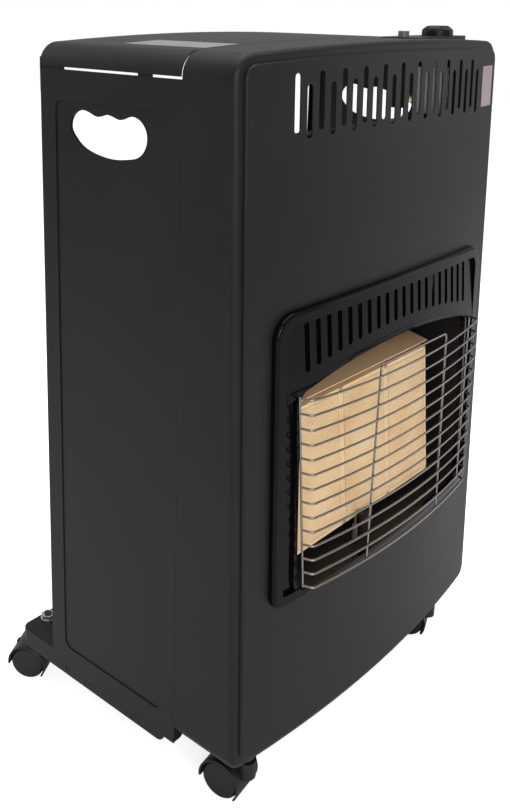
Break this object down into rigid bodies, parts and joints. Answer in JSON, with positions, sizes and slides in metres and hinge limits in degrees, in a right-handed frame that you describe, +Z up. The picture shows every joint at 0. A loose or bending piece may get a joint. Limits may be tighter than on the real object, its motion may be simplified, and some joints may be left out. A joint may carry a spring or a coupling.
{
  "type": "gas cabinet heater",
  "caption": "Upright portable gas cabinet heater with a bowed front, an arched top, a wire-guarded ceramic burner, an open rear bottle bay and twin-wheel casters.",
  "frame": {"origin": "on the floor under the middle of the bounding box", "axes": "+Z up, -Y towards the front with the burner, +Y towards the open bottle bay, +X towards the side with the control knob"},
  "size_m": [0.4352, 0.3605, 0.69],
  "materials": {
    "charcoal": "satin",
    "enamel": "gloss",
    "galvanised": "satin",
    "bronze_plate": "satin",
    "burner_steel": "satin",
    "ceramic": "matte",
    "white_ceramic": "gloss",
    "bright_wire": "polished",
    "brass": "satin",
    "aluminium": "satin",
    "spring_steel": "satin",
    "zinc": "satin",
    "black_plastic": "satin",
    "grey_plastic": "satin",
    "caster_black": "satin",
    "label_grey": "satin",
    "label_white": "satin"
  },
  "bodies": {
    "cabinet": {"front_casing": "charcoal", "top_cover": "charcoal", "side_panel_left": "charcoal", "side_panel_right": "charcoal", "base_tray": "charcoal", "rear_bracket_left": "charcoal", "rear_bracket_right": "charcoal", "heat_shield": "galvanised", "burner_frame": "enamel", "radiant_box": "enamel", "reflector_top": "bronze_plate", "burner_body_left": "burner_steel", "burner_body_middle": "burner_steel", "burner_body_right": "burner_steel", "ceramic_plaque_left": "ceramic", "ceramic_plaque_middle": "ceramic", "ceramic_plaque_right": "ceramic", "wire_guard": "bright_wire", "gas_manifold": "galvanised", "injectors": "brass", "supply_pipe": "galvanised", "gas_valve": "aluminium", "gas_inlet": "brass", "pilot_burner": "burner_steel", "thermocouple": "burner_steel", "spark_electrode": "white_ceramic", "control_bezel": "black_plastic", "knob_spring": "spring_steel", "igniter_body": "black_plastic", "igniter_spring": "spring_steel", "top_label": "label_grey", "front_label": "label_white", "caster_stems": "zinc", "caster_washers": "zinc", "caster_nuts": "zinc", "panel_screws": "zinc", "cover_screws": "zinc"},
    "caster_front_left": {"caster_hood_front_left": "caster_black", "caster_axle_front_left": "zinc"},
    "wheel_front_left_inner": {"caster_wheel_front_left_inner": "caster_black"},
    "wheel_front_left_outer": {"caster_wheel_front_left_outer": "caster_black"},
    "caster_front_right": {"caster_hood_front_right": "caster_black", "caster_axle_front_right": "zinc"},
    "wheel_front_right_inner": {"caster_wheel_front_right_inner": "caster_black"},
    "wheel_front_right_outer": {"caster_wheel_front_right_outer": "caster_black"},
    "caster_rear_left": {"caster_hood_rear_left": "caster_black", "caster_axle_rear_left": "zinc"},
    "wheel_rear_left_inner": {"caster_wheel_rear_left_inner": "caster_black"},
    "wheel_rear_left_outer": {"caster_wheel_rear_left_outer": "caster_black"},
    "caster_rear_right": {"caster_hood_rear_right": "caster_black", "caster_axle_rear_right": "zinc"},
    "wheel_rear_right_inner": {"caster_wheel_rear_right_inner": "caster_black"},
    "wheel_rear_right_outer": {"caster_wheel_rear_right_outer": "caster_black"},
    "valve_plunger": {"valve_sleeve": "brass"},
    "knob": {"control_knob": "black_plastic"},
    "button": {"igniter_button": "grey_plastic"}
  },
  "joints": [
    {"name": "swivel_front_left", "type": "hinge", "parent": "cabinet", "child": "caster_front_left", "pos_m": [-0.166, -0.125, 0.041], "axis": [0, 0, 1], "continuous": true},
    {"name": "spin_front_left_inner", "type": "hinge", "parent": "caster_front_left", "child": "wheel_front_left_inner", "pos_m": [-0.16874, -0.1062, 0.0185], "axis": [0.9895, 0.1444, 0], "continuous": true},
    {"name": "spin_front_left_outer", "type": "hinge", "parent": "caster_front_left", "child": "wheel_front_left_outer", "pos_m": [-0.16874, -0.1062, 0.0185], "axis": [0.9895, 0.1444, 0], "continuous": true},
    {"name": "swivel_front_right", "type": "hinge", "parent": "cabinet", "child": "caster_front_right", "pos_m": [0.166, -0.125, 0.041], "axis": [0, 0, 1], "continuous": true},
    {"name": "spin_front_right_inner", "type": "hinge", "parent": "caster_front_right", "child": "wheel_front_right_inner", "pos_m": [0.1595, -0.10715, 0.0185], "axis": [0.9397, 0.342, 0], "continuous": true},
    {"name": "spin_front_right_outer", "type": "hinge", "parent": "caster_front_right", "child": "wheel_front_right_outer", "pos_m": [0.1595, -0.10715, 0.0185], "axis": [0.9397, 0.342, 0], "continuous": true},
    {"name": "swivel_rear_left", "type": "hinge", "parent": "cabinet", "child": "caster_rear_left", "pos_m": [-0.182, 0.1363, 0.041], "axis": [0, 0, 1], "continuous": true},
    {"name": "spin_rear_left_inner", "type": "hinge", "parent": "caster_rear_left", "child": "wheel_rear_left_inner", "pos_m": [-0.19121, 0.15292, 0.0185], "axis": [0.8746, 0.4848, 0], "continuous": true},
    {"name": "spin_rear_left_outer", "type": "hinge", "parent": "caster_rear_left", "child": "wheel_rear_left_outer", "pos_m": [-0.19121, 0.15292, 0.0185], "axis": [0.8746, 0.4848, 0], "continuous": true},
    {"name": "swivel_rear_right", "type": "hinge", "parent": "cabinet", "child": "caster_rear_right", "pos_m": [0.182, 0.1363, 0.041], "axis": [0, 0, 1], "continuous": true},
    {"name": "spin_rear_right_inner", "type": "hinge", "parent": "caster_rear_right", "child": "wheel_rear_right_inner", "pos_m": [0.19121, 0.15292, 0.0185], "axis": [0.8746, -0.4848, 0], "continuous": true},
    {"name": "spin_rear_right_outer", "type": "hinge", "parent": "caster_rear_right", "child": "wheel_rear_right_outer", "pos_m": [0.19121, 0.15292, 0.0185], "axis": [0.8746, -0.4848, 0], "continuous": true},
    {"name": "knob_push", "type": "slide", "parent": "cabinet", "child": "valve_plunger", "axis": [0, 0, -1], "range_m": [0, 0.002], "stiffness_N_per_m": 600, "springref_m": -0.004, "deforming": ["knob_spring"]},
    {"name": "knob_turn", "type": "hinge", "parent": "valve_plunger", "child": "knob", "pos_m": [0.131, -0.1017, 0.685], "axis": [0, 0, 1], "range_deg": [0, 180]},
    {"name": "igniter_push", "type": "slide", "parent": "cabinet", "child": "button", "axis": [0, 0, -1], "range_m": [0, 0.004], "stiffness_N_per_m": 500, "springref_m": -0.004, "deforming": ["igniter_spring"]}
  ]
}
